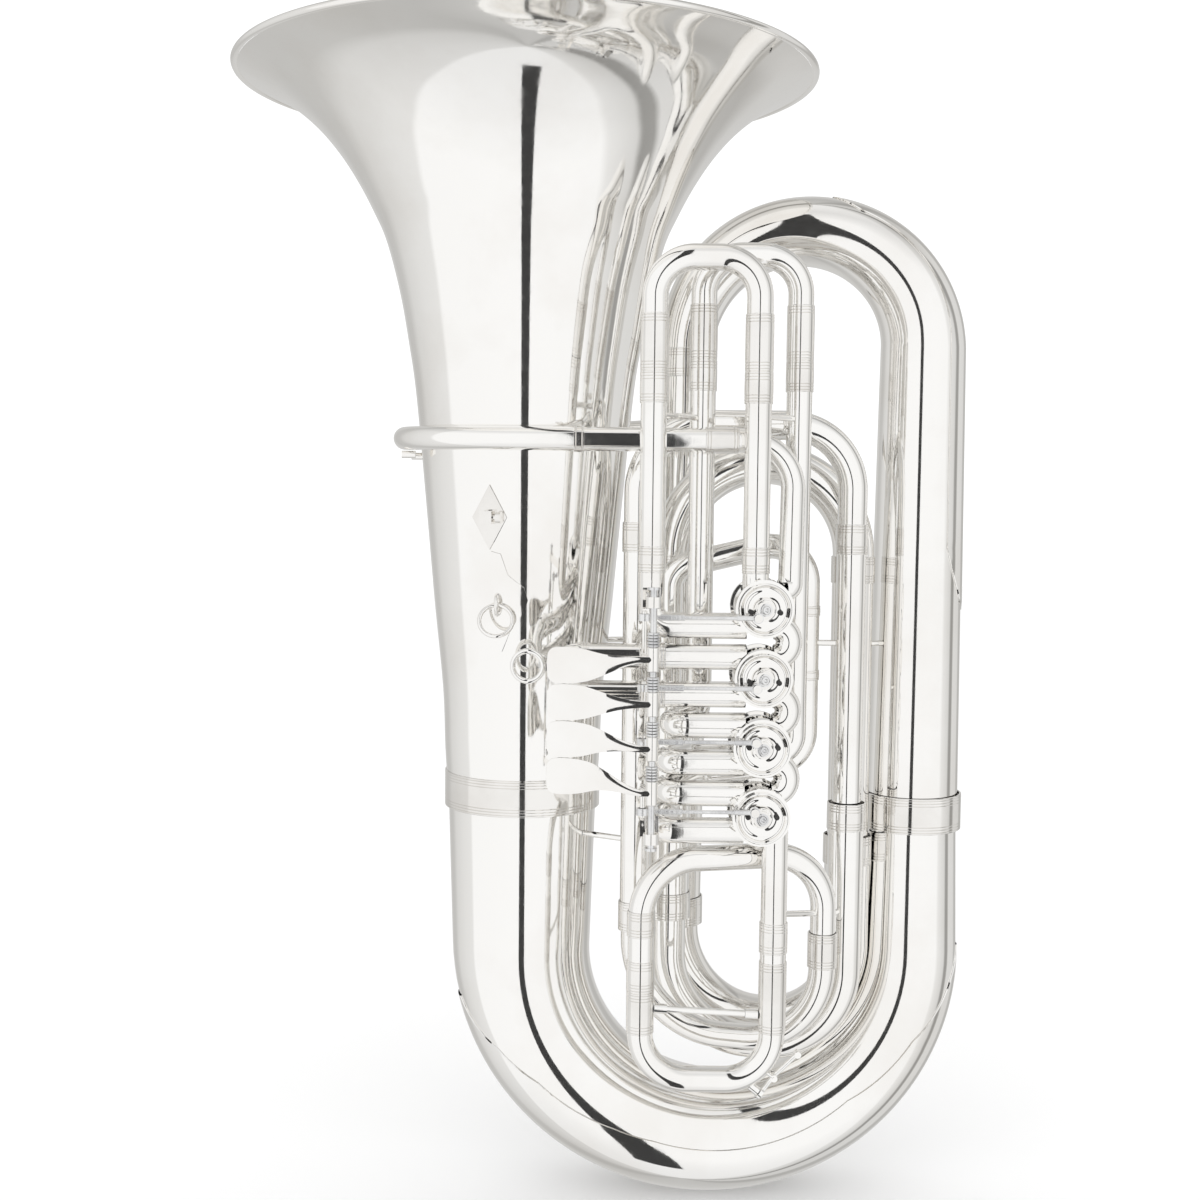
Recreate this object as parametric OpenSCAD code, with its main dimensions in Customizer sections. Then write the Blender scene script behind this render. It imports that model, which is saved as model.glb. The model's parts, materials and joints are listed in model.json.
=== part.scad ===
// Bell-up tuba with four rotary valves. Origin: lowest point of the bottom bow.
// X runs from the bell towards the first branch, Y from the valve side to the back, Z up.

/* [Bell] */
// Bell mouth radius
bell_mouth_r = 240; // [200:1:260]
// Height of the bell mouth
bell_top_z = 936; // [850:1:1000]
// Bell radius at the ferrule
bell_throat_r = 62.5; // [50:0.5:75]
// Sheet thickness of the large tubing
sheet_t = 1.2; // [0.6:0.1:2]

/* [Large tubing] */
// Centreline radius of the bottom bow
bottom_bow_r = 165; // [140:1:180]
// Tube radius in the middle of the bottom bow
bottom_bow_tube_r = 49; // [40:0.5:55]
// Tube radius at the bottom of the first branch
branch_low_r = 39; // [30:0.5:45]
// Tube radius at the top of the first branch
branch_top_r = 34.5; // [28:0.5:40]
// Centreline radius of the top bow
top_bow_r = 98; // [80:1:120]
// Height of the top bow's centre
top_bow_z = 718; // [650:1:760]
// Tube radius where the top bow meets the second branch
top_bow_end_r = 23.2; // [18:0.1:28]

/* [Small tubing] */
// Outer radius of the valve tubing
tube_r = 10.1; // [9:0.1:12]
// Wall of the valve tubing
tube_t = 0.8; // [0.5:0.05:1.2]
// Running gap between a slide leg and its sleeve
slide_gap = 0.05; // [0.02:0.01:0.1]
// Outer radius of the leadpipe
leadpipe_r = 9.4; // [8:0.1:11]

/* [Valves] */
// Height of the lowest valve
valve_low_z = 350; // [300:1:400]
// Distance between valve axes
valve_pitch = 53; // [50:0.5:60]
// Casing radius
casing_r = 21.5; // [20:0.5:24]
// Rotor radius
rotor_r = 18.5; // [17:0.5:20]
// Offset of the ports from the valve axis
port_offset = 14.5; // [13:0.5:16]

/* [Levers] */
// Distance between lever arms
lever_pitch = 33; // [30:0.5:38]
// Lever swing
lever_swing = 26; // [15:1:30]

/* [Hidden] */
$fn = 48;
slack = 0.01;
solder_gap = 0.02;
bell_x = -bottom_bow_r;
branch_x = bottom_bow_r + 2;
bow_z = bottom_bow_r + bottom_bow_tube_r;
bow_left_r = bottom_bow_tube_r + 9.5;
bow_right_r = bottom_bow_tube_r - 7.5;
bell_low_z = 336;
branch_low_z = 318;
top_bow_x = branch_x - top_bow_r;

// Depths of the tubing layers
front_y = -125;
leadpipe_y = -102.5;
third_y = -80;
fourth_y = -58;
c_bow_y = -56;
second_branch_y = 28;
rod_y = -156;
axle_y = -182;

// Places along X
valve_x = 24;
knuckle_x = 33;
axle_x = -61;
tuning_left_x = -66;
tuning_right_x = 37;
first_left_x = -61;
first_right_x = 18.6;
third_left_x = -21;
third_right_x = 55;
loop_right_x = 80;
inner_left_x = -70;
inner_right_x = 102;
inner_right_y = -59;
loop_y = -92;
e_left_x = -40;
e_right_x = 109;
e_right_y = -24;
e_left_y = -18;
second_branch_x = top_bow_x - top_bow_r;
bend_x = -56;

bore_r = tube_r - tube_t;
leg_r = bore_r - slide_gap;
leg_bore = leg_r - tube_t;
crank_arm = 6.1;
horn_x = axle_x - 6;
horn_y = rod_y - 0.7;
silver = [0.86, 0.86, 0.85];
nickel = [0.74, 0.73, 0.70];
steel = [0.62, 0.62, 0.64];
cork = [0.12, 0.12, 0.12];

function valve_z(n) = valve_low_z + (4 - n) * valve_pitch;
function lever_z(n) = 474 - (n - 1) * lever_pitch;
function horn_z(n) = lever_z(n) - (n == 3 ? 6.5 : n == 2 ? 4 : 0);
function port(n, side, x) = [x, front_y, valve_z(n) + side * port_offset];
function front(x, z) = [x, front_y, z];
function crank_end(n) = n < 3 ? [-crank_arm, -crank_arm] : [-crank_arm, crank_arm];
function rod_z(n) = valve_z(n) + crank_end(n)[1];
function unit(v) = v / norm(v);

// A bend in a pipe, as an arc of a torus about the inner corner; hollow when a bore is given
module bend(p, d1, d2, r, tube, bore = 0)
{
    turn = acos(d1 * d2);
    back = r * tan(turn / 2);
    side = unit(d2 - d1 * cos(turn));
    centre = p - d1 * back + side * r;
    up = cross(-side, d1);
    multmatrix([[-side[0], d1[0], up[0], centre[0]],
                [-side[1], d1[1], up[1], centre[1]],
                [-side[2], d1[2], up[2], centre[2]],
                [0, 0, 0, 1]])
        rotate_extrude(angle = turn)
            translate([r, 0])
                difference() {
                    circle(r = tube);
                    if (bore > 0)
                        circle(r = bore);
                }
}

// A straight round bar between two points
module bar(a, b, r1, r2 = -1)
{
    d = b - a;
    len = norm(d);
    z = d / len;
    aside = abs(z[2]) < 0.9 ? [0, 0, 1] : [0, 1, 0];
    x = unit(cross(aside, z));
    y = cross(z, x);
    multmatrix([[x[0], y[0], z[0], a[0]],
                [x[1], y[1], z[1], a[1]],
                [x[2], y[2], z[2], a[2]],
                [0, 0, 0, 1]])
        cylinder(h = len, r1 = r1, r2 = r2 < 0 ? r1 : r2);
}

function setback(path, bends, i) =
    i == 0 || i == len(path) - 1 ? 0 :
    bends[i - 1] * tan(acos(unit(path[i] - path[i - 1]) * unit(path[i + 1] - path[i])) / 2);

// A solid run of pipe along corners joined by bends
module run(path, bends, r, over = 0)
{
    last = len(path) - 1;
    for (i = [0:last - 1]) {
        d = unit(path[i + 1] - path[i]);
        a = path[i] + d * (i == 0 ? -over : setback(path, bends, i));
        b = path[i + 1] - d * (i == last - 1 ? -over : setback(path, bends, i + 1));
        if ((b - a) * d > 0.05)
            bar(a, b, r);
    }
    for (i = [1:last - 1])
        if (last > 1)
            bend(path[i], unit(path[i] - path[i - 1]), unit(path[i + 1] - path[i]), bends[i - 1], r);
}

// A hollow pipe: straight tubes and bends, each a piece of its own with a hairline solder gap
module pipe(path, bends, r, bore)
{
    last = len(path) - 1;
    for (i = [0:last - 1]) {
        d = unit(path[i + 1] - path[i]);
        a = path[i] + d * (setback(path, bends, i) + solder_gap);
        b = path[i + 1] - d * (setback(path, bends, i + 1) + solder_gap);
        if ((b - a) * d > 0.1)
            difference() {
                bar(a, b, r);
                bar(a - d, b + d, bore);
            }
    }
    if (last > 1)
        for (i = [1:last - 1])
            bend(path[i], unit(path[i] - path[i - 1]), unit(path[i + 1] - path[i]), bends[i - 1], r, bore);
}

// A straight hollow tube, tapering when the end radii differ
module tube(a, b, r1, r2, t)
{
    d = unit(b - a);
    difference() {
        bar(a, b, r1, r2);
        bar(a - d * slack, b + d * slack, r1 - t, r2 - t);
    }
}

// A short ferrule with a bead at each end
module ferrule(p, d, r, h, bore)
{
    a = p - d * h / 2;
    b = p + d * h / 2;
    difference() {
        union() {
            bar(a, b, r);
            bar(a, a + d * 1.4, r + 0.5);
            bar(b - d * 1.4, b, r + 0.5);
        }
        bar(a - d, b + d, bore);
    }
}

// A tube bent round a half circle whose radius changes along the way
module tapered_bow(centre, side, down, r, r1, r2, t, lean = [0, 0, 0])
{
    rings = 30;
    sides = 24;
    normal = unit(cross(side, down));
    outer = [for (k = [0:rings]) for (j = [0:sides - 1]) bow_point(centre, side, down, normal, r,
        r1 + (r2 - r1) * k / rings, 180 * k / rings, 360 * j / sides, lean * k / rings)];
    inner = [for (k = [0:rings]) for (j = [0:sides - 1]) bow_point(centre, side, down, normal, r,
        r1 - t + (r2 - r1) * k / rings, 180 * k / rings, 360 * j / sides, lean * k / rings)];
    count = (rings + 1) * sides;
    polyhedron(points = concat(outer, inner), faces = concat(
        [for (k = [0:rings - 1]) for (j = [0:sides - 1])
            [k * sides + j, k * sides + (j + 1) % sides,
             (k + 1) * sides + (j + 1) % sides, (k + 1) * sides + j]],
        [for (k = [0:rings - 1]) for (j = [0:sides - 1])
            [count + (k + 1) * sides + j, count + (k + 1) * sides + (j + 1) % sides,
             count + k * sides + (j + 1) % sides, count + k * sides + j]],
        [for (j = [0:sides - 1]) [count + j, count + (j + 1) % sides, (j + 1) % sides, j]],
        [for (j = [0:sides - 1]) [rings * sides + j, rings * sides + (j + 1) % sides,
            count + rings * sides + (j + 1) % sides, count + rings * sides + j]]));
}

function bow_point(centre, side, down, normal, r, tube, turn, around, shift) =
    centre + shift + (side * cos(turn) + down * sin(turn)) * (r + tube * cos(around))
    + normal * tube * sin(around);

// ---------------------------------------------------------------- large tubing

bell_profile = [[bell_throat_r, bell_low_z], [65.4, 378], [67.5, 430], [75, 505], [82.5, 589],
    [90.5, 674], [96.5, 716], [104, 758], [115, 800], [126, 825], [140, 851], [157, 876],
    [178, 899], [204, 919], [bell_mouth_r - 5.7, bell_top_z - 2.07]];

module bell()
{
    last = len(bell_profile) - 1;
    color(silver)
        translate([bell_x, 0, 0])
            rotate_extrude($fn = 96)
                polygon(concat(bell_profile, [for (i = [last:-1:0])
                    bell_profile[i] + [-sheet_t, i > 8 ? sheet_t : 0]]));
}

module bell_rim_wire()
{
    color(silver)
        translate([bell_x, 0, bell_top_z - 0.05])
            rotate_extrude($fn = 96)
                translate([bell_mouth_r - 3.35, 0])
                    circle(r = 3, $fn = 24);
}

module bell_ferrule()
{
    color(nickel)
        ferrule([bell_x, 0, bell_low_z + 10], [0, 0, 1], bell_throat_r + 3.1, 30, bell_throat_r + 2);
}

module bottom_bow()
{
    color(silver) {
        tapered_bow([0, 0, bow_z], [-1, 0, 0], [0, 0, -1], bottom_bow_r, bow_left_r, bow_right_r, sheet_t);
        tube([bell_x, 0, bell_low_z - 0.2], [bell_x, 0, bow_z + 0.1],
            bell_throat_r - 0.2, bow_left_r, sheet_t);
        tube([bottom_bow_r, 0, bow_z + 0.1], [bottom_bow_r, 0, branch_low_z],
            bow_right_r, branch_low_r, sheet_t);
    }
}

// Thin shield along the outer face of the bottom bow, half width in degrees by turn
module bottom_bow_guard()
{
    wide = [[12, 20], [36, 71], [60, 86], [72, 90], [132, 90], [156, 70], [180, 16]];
    turns = [for (t = [12:3:60]) t, for (t = [66:6:132]) t, for (t = [135:3:180]) t];
    rings = len(turns) - 1;
    half = 12;
    thick = 0.9;
    color(silver)
        polyhedron(
            points = [for (side = [0, 1]) for (turn = turns) for (j = [-half:half])
                let (tube = bow_left_r + (bow_right_r - bow_left_r) * turn / 180 + 0.35 + side * thick)
                bow_point([0, 0, bow_z], [-1, 0, 0], [0, 0, -1], [0, 1, 0], bottom_bow_r, tube, turn,
                    lookup(turn, wide) * j / half, [0, 0, 0])],
            faces = guard_faces(rings, 2 * half));
}

function guard_faces(rings, cols) =
    let (row = cols + 1, count = (rings + 1) * row)
    concat(
        [for (k = [0:rings - 1]) for (j = [0:cols - 1])
            [k * row + j + 1, k * row + j, (k + 1) * row + j, (k + 1) * row + j + 1]],
        [for (k = [0:rings - 1]) for (j = [0:cols - 1])
            count * [1, 1, 1, 1] + [(k + 1) * row + j + 1, (k + 1) * row + j, k * row + j, k * row + j + 1]],
        [for (k = [0:rings - 1]) [k * row, count + k * row, count + (k + 1) * row, (k + 1) * row]],
        [for (k = [0:rings - 1]) [(k + 1) * row + cols, count + (k + 1) * row + cols, count + k * row + cols,
            k * row + cols]],
        [for (j = [0:cols - 1]) [j, j + 1, count + j + 1, count + j]],
        [for (j = [0:cols - 1]) [rings * row + j + 1, rings * row + j, count + rings * row + j,
            count + rings * row + j + 1]]);

module right_ferrule()
{
    color(nickel)
        ferrule([branch_x - 1, 0, branch_low_z + 12], [0, 0, 1], branch_low_r + 3.2, 30, branch_low_r + 2);
}

module right_branch()
{
    color(silver)
        tube([branch_x - 1, 0, branch_low_z + 0.2], [branch_x, 0, top_bow_z],
            branch_low_r, branch_top_r, sheet_t);
}

module top_bow()
{
    color(silver)
        tapered_bow([top_bow_x, 0, top_bow_z + 0.2], [1, 0, 0], [0, 0, 1], top_bow_r, branch_top_r,
            top_bow_end_r, sheet_t, [0, second_branch_y, 0]);
}

// Shield over the outer shoulder of the top bow
module top_bow_guard()
{
    step = 6;
    rings = 13;
    half = 6;
    thick = 0.9;
    color(silver)
        polyhedron(
            points = [for (side = [0, 1]) for (k = [0:rings]) for (j = [-half:half])
                let (turn = k * step,
                     tube = branch_top_r - (branch_top_r - top_bow_end_r) * turn / 180 + 0.35 + side * thick)
                bow_point([top_bow_x, 0, top_bow_z + 0.2], [1, 0, 0], [0, 0, 1], [0, -1, 0], top_bow_r, tube,
                    turn, (61 - 21 * k / rings) * min(1, (rings + 0.3 - k) / 2) * j / half,
                    [0, second_branch_y * turn / 180, 0])],
            faces = guard_faces(rings, 2 * half));
}

// Shield down the outer side of the first branch
module branch_guard()
{
    low_z = 500;
    color(silver)
        difference() {
            bar([branch_x - 0.5, 0, low_z], [branch_x, 0, top_bow_z - 3], 38.4, branch_top_r + 1.2);
            bar([branch_x - 0.5, 0, low_z - slack], [branch_x, 0, top_bow_z - 3 + slack],
                37.4, branch_top_r + 0.3);
            translate([branch_x - 80 + 18, -60, low_z - 1])
                cube([80, 120, 300]);
            translate([branch_x + 18, 0, low_z])
                for (way = [-1, 1])
                    rotate([way * -16, 0, 0])
                        translate([-10, way < 0 ? -100 : 12, -10])
                            cube([60, 88, 90]);
        }
}

second_branch_path = [[second_branch_x, second_branch_y, top_bow_z],
    [second_branch_x - 2, second_branch_y, 224]];

module second_branch()
{
    color(silver)
        tube(second_branch_path[0], second_branch_path[1], top_bow_end_r, 20.5, sheet_t);
    color(nickel)
        ferrule([second_branch_x, second_branch_y, top_bow_z - 12], [0, 0, 1], top_bow_end_r + 1.6, 24,
            top_bow_end_r + 0.3);
}

// Lower inner bow joining the second and third branches
lower_inner_path = [[second_branch_x - 2, second_branch_y, 223.8],
    [second_branch_x - 2, second_branch_y, 146], [e_right_x, e_right_y, 146], [e_right_x, e_right_y, 300]];

module second_bottom_bow()
{
    color(silver)
        pipe(lower_inner_path, [72, 72], 18.8, 17.6);
    color(nickel) {
        ferrule([second_branch_x - 2, second_branch_y, 234], [0, 0, 1], 22.6, 24, 20.7);
        ferrule([e_right_x, e_right_y, 300], [0, 0, 1], 20.2, 24, 18.8 + slack);
    }
}

// Third branch and the upper inner bow behind
upper_inner_path = [[e_right_x, e_right_y, 300.2], [e_right_x, e_right_y, 621], [e_left_x, e_left_y, 621],
    [e_left_x, e_left_y, 250]];

module upper_inner_bow()
{
    color(silver)
        pipe(upper_inner_path, [74.5, 74.5], 17, 15.9);
    color(nickel)
        for (x = [e_left_x, e_right_x])
            ferrule([x, x < 0 ? e_left_y : e_right_y, 534], [0, 0, 1], 18.2, 22, 17 + slack);
}

// Third bottom bow, nested in front of the second
c_joint_z = 335;
third_bottom_path = [[e_left_x, e_left_y, 249.8], [e_left_x, e_left_y, 140],
    [inner_right_x, inner_right_y, 140], [inner_right_x, inner_right_y, c_joint_z - 0.2]];

module third_bottom_bow()
{
    color(silver)
        pipe(third_bottom_path, [68, 68], 14.4, 13.3);
    color(nickel) {
        ferrule([e_left_x, e_left_y, 250], [0, 0, 1], 18.4, 22, 17 + slack);
        ferrule([inner_right_x, inner_right_y, c_joint_z], [0, 0, 1], 15.6, 22, 14.4 + slack);
    }
}

// Front upper inner bow down to the loop after the tuning slide
front_bow_path = [[inner_right_x, inner_right_y, c_joint_z], [inner_right_x, inner_right_y, 651],
    [inner_left_x, c_bow_y, 651], [inner_left_x, c_bow_y, 250]];

module front_upper_bow()
{
    color(silver)
        pipe(front_bow_path, [52, 55], 11.8, 10.8);
    color(nickel) {
        ferrule([inner_right_x, inner_right_y, 560], [0, 0, 1], 13, 24, 11.8 + slack);
        ferrule([inner_left_x, c_bow_y, 560], [0, 0, 1], 13, 24, 11.8 + slack);
    }
}

loop_path = [[inner_left_x, c_bow_y, 249.8], [inner_left_x, c_bow_y, 156], [loop_right_x, loop_y, 156],
    [loop_right_x, loop_y, 220]];

module tuning_loop()
{
    color(silver)
        pipe(loop_path, [75, 62], tube_r + 0.5, bore_r + 0.3);
    color(nickel) {
        ferrule([inner_left_x, c_bow_y, 250], [0, 0, 1], 13, 24, 11.8 + slack);
        ferrule([loop_right_x, loop_y, 233], [0, 0, 1], tube_r + 1.7, 28, tube_r + 0.5 + slack);
    }
}

// ---------------------------------------------------------------- valve section

module casing(n)
{
    z = valve_z(n);
    color(silver)
        difference() {
            union() {
                bar([valve_x, -147, z], [valve_x, -103, z], casing_r);
                bar([valve_x, -147, z], [valve_x, -144, z], casing_r + 0.7);
            }
            bar([valve_x, -145.5, z], [valve_x, -100, z], rotor_r + slide_gap);
            bar([valve_x, -150, z], [valve_x, -140, z], 4.05);
            for (side = [-1, 1])
                for (up = [-1, 1])
                    bar([valve_x, front_y, z + up * port_offset],
                        [valve_x + side * 30, front_y, z + up * port_offset], bore_r);
        }
    color(nickel)
        difference() {
            bar([valve_x, -103, z], [valve_x, -98, z], casing_r + 1.2);
            bar([valve_x, -104, z], [valve_x, -100.5, z], rotor_r + 0.6);
        }
}

module rotor(n)
{
    z = valve_z(n);
    crank = crank_end(n);
    pin = [valve_x + crank[0], 0, z + crank[1]];
    color(nickel)
        difference() {
            bar([valve_x, -144.9, z], [valve_x, -104.5, z], rotor_r);
            for (side = [-1, 1])
                translate([valve_x + side * 29, front_y, z])
                    rotate([90, 0, 0])
                        rotate_extrude()
                            translate([19, 0])
                                circle(r = bore_r);
        }
    color(steel) {
        bar([valve_x, -152, z], [valve_x, -144.9, z], 4);
        bar([valve_x, -154.6, z], [valve_x, -152, z], 6.5);
        hull() {
            bar([valve_x, -154.2, z], [valve_x, -152, z], 5);
            bar([pin[0], -154.2, pin[2]], [pin[0], -152, pin[2]], 3.6);
        }
        bar([pin[0], -159.2, pin[2]], [pin[0], -154.2, pin[2]], 1.95);
        bar([pin[0], -161, pin[2]], [pin[0], -159.2, pin[2]], 3.2);
    }
}

// Front plate of each valve with its two stop corks
module stop_plate(n)
{
    z = valve_z(n);
    color(silver)
        difference() {
            bar([valve_x, -149.4, z], [valve_x, -147, z], 19.8);
            bar([valve_x, -150, z], [valve_x, -146, z], 5.6);
        }
    color(silver)
        difference() {
            bar([valve_x, -151.6, z], [valve_x, -149.4, z], 19.8);
            bar([valve_x, -152, z], [valve_x, -149, z], 17.6);
        }
}

module bumpers(n)
{
    z = valve_z(n);
    way = n < 3 ? -1 : 1;
    color(cork)
        for (a = [way * 10, way * 170])
            bar([valve_x + 11 * cos(a), -155, z + 11 * sin(a)],
                [valve_x + 11 * cos(a), -149.4, z + 11 * sin(a)], 2);
}

// Link rod between a lever horn and a rotor crank
module link(n)
{
    z = rod_z(n);
    pin_x = valve_x - crank_arm;
    color(steel)
        difference() {
            union() {
                bar([pin_x, -158.5, z], [pin_x, -154.9, z], 4);
                bar([horn_x + 4, horn_y, z], [pin_x - 3, horn_y, z], 1.5);
                bar([horn_x + 12, horn_y, z], [horn_x + 30, horn_y, z], 2.3);
                bar([pin_x - 16, horn_y, z], [pin_x - 3.4, horn_y, z], 2.1);
                bar([horn_x, horn_y, z - 2.6], [horn_x, horn_y, z + 2.6], 4.8);
            }
            bar([pin_x, -162, z], [pin_x, -150, z], 2);
            bar([horn_x, horn_y, z - 5], [horn_x, horn_y, z + 5], 3.2);
        }
}

// Half outline of a finger paddle, from the arm to the tip
paddle = [[34, 7], [20, 10.5], [8, 13.5], [3, 13], [0, 10]];

// Finger lever: paddle, arm, hub and horn
module lever(n)
{
    z = lever_z(n);
    tip_z = 469 - (n - 1) * 27.4;
    joint_x = axle_x - 24;
    joint_z = z + (tip_z - z) * 0.35;
    tip_x = axle_x - 78;
    reach = rod_z(n) + (rod_z(n) > horn_z(n) ? 5 : -5);
    color(silver)
        difference() {
            union() {
                bar([axle_x, axle_y, z - 9], [axle_x, axle_y, z + 9], 4.6);
                translate([0, axle_y - 4.4, 0])
                    rotate([90, 0, 0])
                        mirror([0, 0, 1])
                            linear_extrude(2.2)
                                polygon(concat([[axle_x, z + 4], [axle_x, z - 4], [joint_x, joint_z - 3.6]],
                                    [for (p = paddle) [tip_x + p[0], tip_z - p[1]]],
                                    [for (i = [len(paddle) - 1:-1:0])
                                        [tip_x + paddle[i][0], tip_z + paddle[i][1]]],
                                    [[joint_x, joint_z + 3.6]]));
                bar([axle_x, axle_y, horn_z(n)], [horn_x, horn_y - 1, horn_z(n)], 2.2);
                bar([horn_x, horn_y, horn_z(n) + (reach > horn_z(n) ? -2.2 : 2.2)],
                    [horn_x, horn_y, reach], 1.9);
            }
            bar([axle_x, axle_y, z - 12], [axle_x, axle_y, z + 12], 2.55);
        }
}

module lever_axle()
{
    color(steel) {
        bar([axle_x, axle_y, 334], [axle_x, axle_y, 526], 2.5);
        for (z = [332, 525])
            bar([axle_x, axle_y, z], [axle_x, axle_y, z + 2], 4.5);
    }
}

// Posts that carry the axle
module axle_posts()
{
    color(silver)
        for (z = [340, 515])
            difference() {
                union() {
                    bar([axle_x, axle_y, z - 3], [axle_x, axle_y, z + 5], 6);
                    translate([axle_x - 4, axle_y, z - 2])
                        cube([8, front_y - tube_r - axle_y + 2, 6]);
                    translate([axle_x - 7, front_y - tube_r - 3, z - 7])
                        cube([14, 3, 16]);
                }
                bar([axle_x, axle_y, z - 8], [axle_x, axle_y, z + 8], 2.5);
                bar([first_left_x, front_y, 430], [first_left_x, front_y, 560], tube_r);
                run(fourth_tube_low(), [12, 14], tube_r);
            }
}

module springs()
{
    coils = 5;
    color(steel)
        for (n = [1:4])
            for (k = [0:coils - 1])
                translate([axle_x, axle_y, lever_z(n) + 10.2 + k * 2.2])
                    rotate_extrude($fn = 24)
                        translate([3.9, 0])
                            circle(r = 0.9, $fn = 16);
}

// ---------------------------------------------------------------- valve tubing

module cut_casings()
{
    difference() {
        children();
        for (n = [1:4])
            bar([valve_x, -152, valve_z(n)], [valve_x, -96, valve_z(n)], casing_r);
    }
}

// Right-hand tubes between neighbouring valves
module knuckles()
{
    color(silver)
        cut_casings()
            for (n = [1:3])
                pipe([port(n, -1, knuckle_x), port(n, -1, knuckle_x + 12),
                    port(n + 1, 1, knuckle_x + 12), port(n + 1, 1, knuckle_x)], [12, 12], tube_r, bore_r);
}

function fourth_tube_low() = [port(4, -1, valve_x), port(4, -1, bend_x),
    [-44, fourth_y, valve_z(4) - port_offset], [-44, fourth_y, 400]];

// Sleeve legs of the main tuning slide
module tuning_slide_legs()
{
    right_end = 240;
    left_end = 209;
    color(silver) {
        cut_casings()
            pipe([port(4, -1, valve_x), port(4, -1, tuning_right_x), front(tuning_right_x, right_end)],
                [12], tube_r, bore_r);
        pipe([front(tuning_left_x, left_end), front(tuning_left_x, 311), [loop_right_x, loop_y, 311],
            [loop_right_x, loop_y, 220.2]], [44, 44], tube_r, bore_r);
    }
    color(nickel) {
        ferrule([tuning_right_x, front_y, right_end + 12], [0, 0, 1], tube_r + 0.9, 24, tube_r + slack);
        ferrule([tuning_left_x, front_y, left_end + 12], [0, 0, 1], tube_r + 0.9, 24, tube_r + slack);
        ferrule([tuning_left_x, front_y, 262], [0, 0, 1], tube_r + 0.9, 20, tube_r + slack);
    }
}

module main_tuning_slide()
{
    z_right = 239.8;
    z_left = 208.8;
    bow_z0 = 138.4;
    color(silver) {
        pipe([front(tuning_left_x, z_left), front(tuning_left_x, bow_z0), front(tuning_right_x, bow_z0),
            front(tuning_right_x, z_right)], [37, 37], tube_r, leg_bore);
        tube([tuning_left_x, front_y, z_left], [tuning_left_x, front_y, 262], leg_r, leg_r, tube_t);
        tube([tuning_right_x, front_y, z_right], [tuning_right_x, front_y, 318], leg_r, leg_r, tube_t);
    }
    color(nickel) {
        ferrule([tuning_left_x, front_y, 192], [0, 0, 1], tube_r + 0.7, 33, tube_r + slack);
        ferrule([tuning_right_x, front_y, 205], [0, 0, 1], tube_r + 0.7, 56, tube_r + slack);
    }
    color(silver)
        difference() {
            union() {
                bar([tuning_left_x, front_y, 195], [tuning_right_x, front_y, 190], 2.6);
                bar([tuning_left_x, front_y, 195], [tuning_left_x + tube_r + 10, front_y, 194.5], 3.8);
                bar([tuning_right_x - tube_r - 10, front_y, 190.5], [tuning_right_x, front_y, 190], 3.8);
            }
            for (x = [tuning_left_x, tuning_right_x])
                bar([x, front_y, 150], [x, front_y, 240], tube_r + 0.7 + solder_gap);
        }
}

// Fixed legs of the first valve slide
module first_slide_legs()
{
    color(silver)
        cut_casings() {
            tube(front(first_right_x, valve_z(1) + 10), front(first_right_x, 688), tube_r, tube_r, tube_t);
            pipe([port(1, -1, valve_x), port(1, -1, first_left_x), front(first_left_x, 688)],
                [14], tube_r, bore_r);
        }
    color(nickel)
        for (x = [first_left_x, first_right_x]) {
            ferrule([x, front_y, 676], [0, 0, 1], tube_r + 0.9, 24, tube_r + slack);
            ferrule([x, front_y, 545], [0, 0, 1], tube_r + 0.7, 20, tube_r + slack);
        }
}

// Sliding crook shared in shape by the two upward slides
module crook(left_x, right_x, y, base_z, top_z)
{
    color(silver)
        pipe([[left_x, y, base_z + 0.2], [left_x, y, top_z], [right_x, y, top_z], [right_x, y, base_z + 0.2]],
            [30, 30], tube_r, leg_bore);
    color(silver)
        for (x = [left_x, right_x])
            tube([x, y, base_z - 80], [x, y, base_z + 0.2], leg_r, leg_r, tube_t);
    color(nickel)
        for (x = [left_x, right_x])
            ferrule([x, y, base_z + 22], [0, 0, 1], tube_r + 0.8, 43, tube_r + slack);
}

module first_slide()
{
    crook(first_left_x, first_right_x, front_y, 688, 774);
}

module third_slide_legs()
{
    y = third_y;
    high = valve_z(3) + port_offset;
    low = valve_z(3) - port_offset;
    color(silver)
        cut_casings() {
            pipe([front(valve_x, high), front(bend_x, high), [third_left_x, y, high],
                [third_left_x, y, 700]], [12, 14], tube_r, bore_r);
            pipe([front(valve_x, low), front(bend_x, low), [-30, y, low], [third_right_x, y, low],
                [third_right_x, y, 700]], [12, 14, 16], tube_r, bore_r);
        }
    color(nickel)
        for (x = [third_left_x, third_right_x])
            ferrule([x, y, 688], [0, 0, 1], tube_r + 0.9, 24, tube_r + slack);
}

module third_slide()
{
    crook(third_left_x, third_right_x, third_y, 700, 782);
}

module second_slide_legs()
{
    end_x = axle_x - 9;
    color(silver)
        cut_casings()
            for (up = [-1, 1])
                tube(port(2, up, valve_x), port(2, up, end_x), tube_r, tube_r, tube_t);
    color(nickel)
        for (up = [-1, 1])
            ferrule(port(2, up, end_x + 10), [1, 0, 0], tube_r + 0.9, 20, tube_r + slack);
}

module second_slide()
{
    end_x = axle_x - 9;
    tip_x = -114.5;
    color(silver) {
        for (up = [-1, 1])
            tube(port(2, up, end_x - 0.2), port(2, up, end_x + 50), leg_r, leg_r, tube_t);
        pipe([port(2, 1, end_x - 0.2), port(2, 1, tip_x - port_offset), port(2, -1, tip_x - port_offset),
            port(2, -1, end_x - 0.2)], [port_offset, port_offset], tube_r, leg_bore);
    }
    color(nickel)
        for (up = [-1, 1])
            ferrule(port(2, up, tip_x + 3), [1, 0, 0], tube_r + 0.7, 5, tube_r + slack);
}

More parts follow.
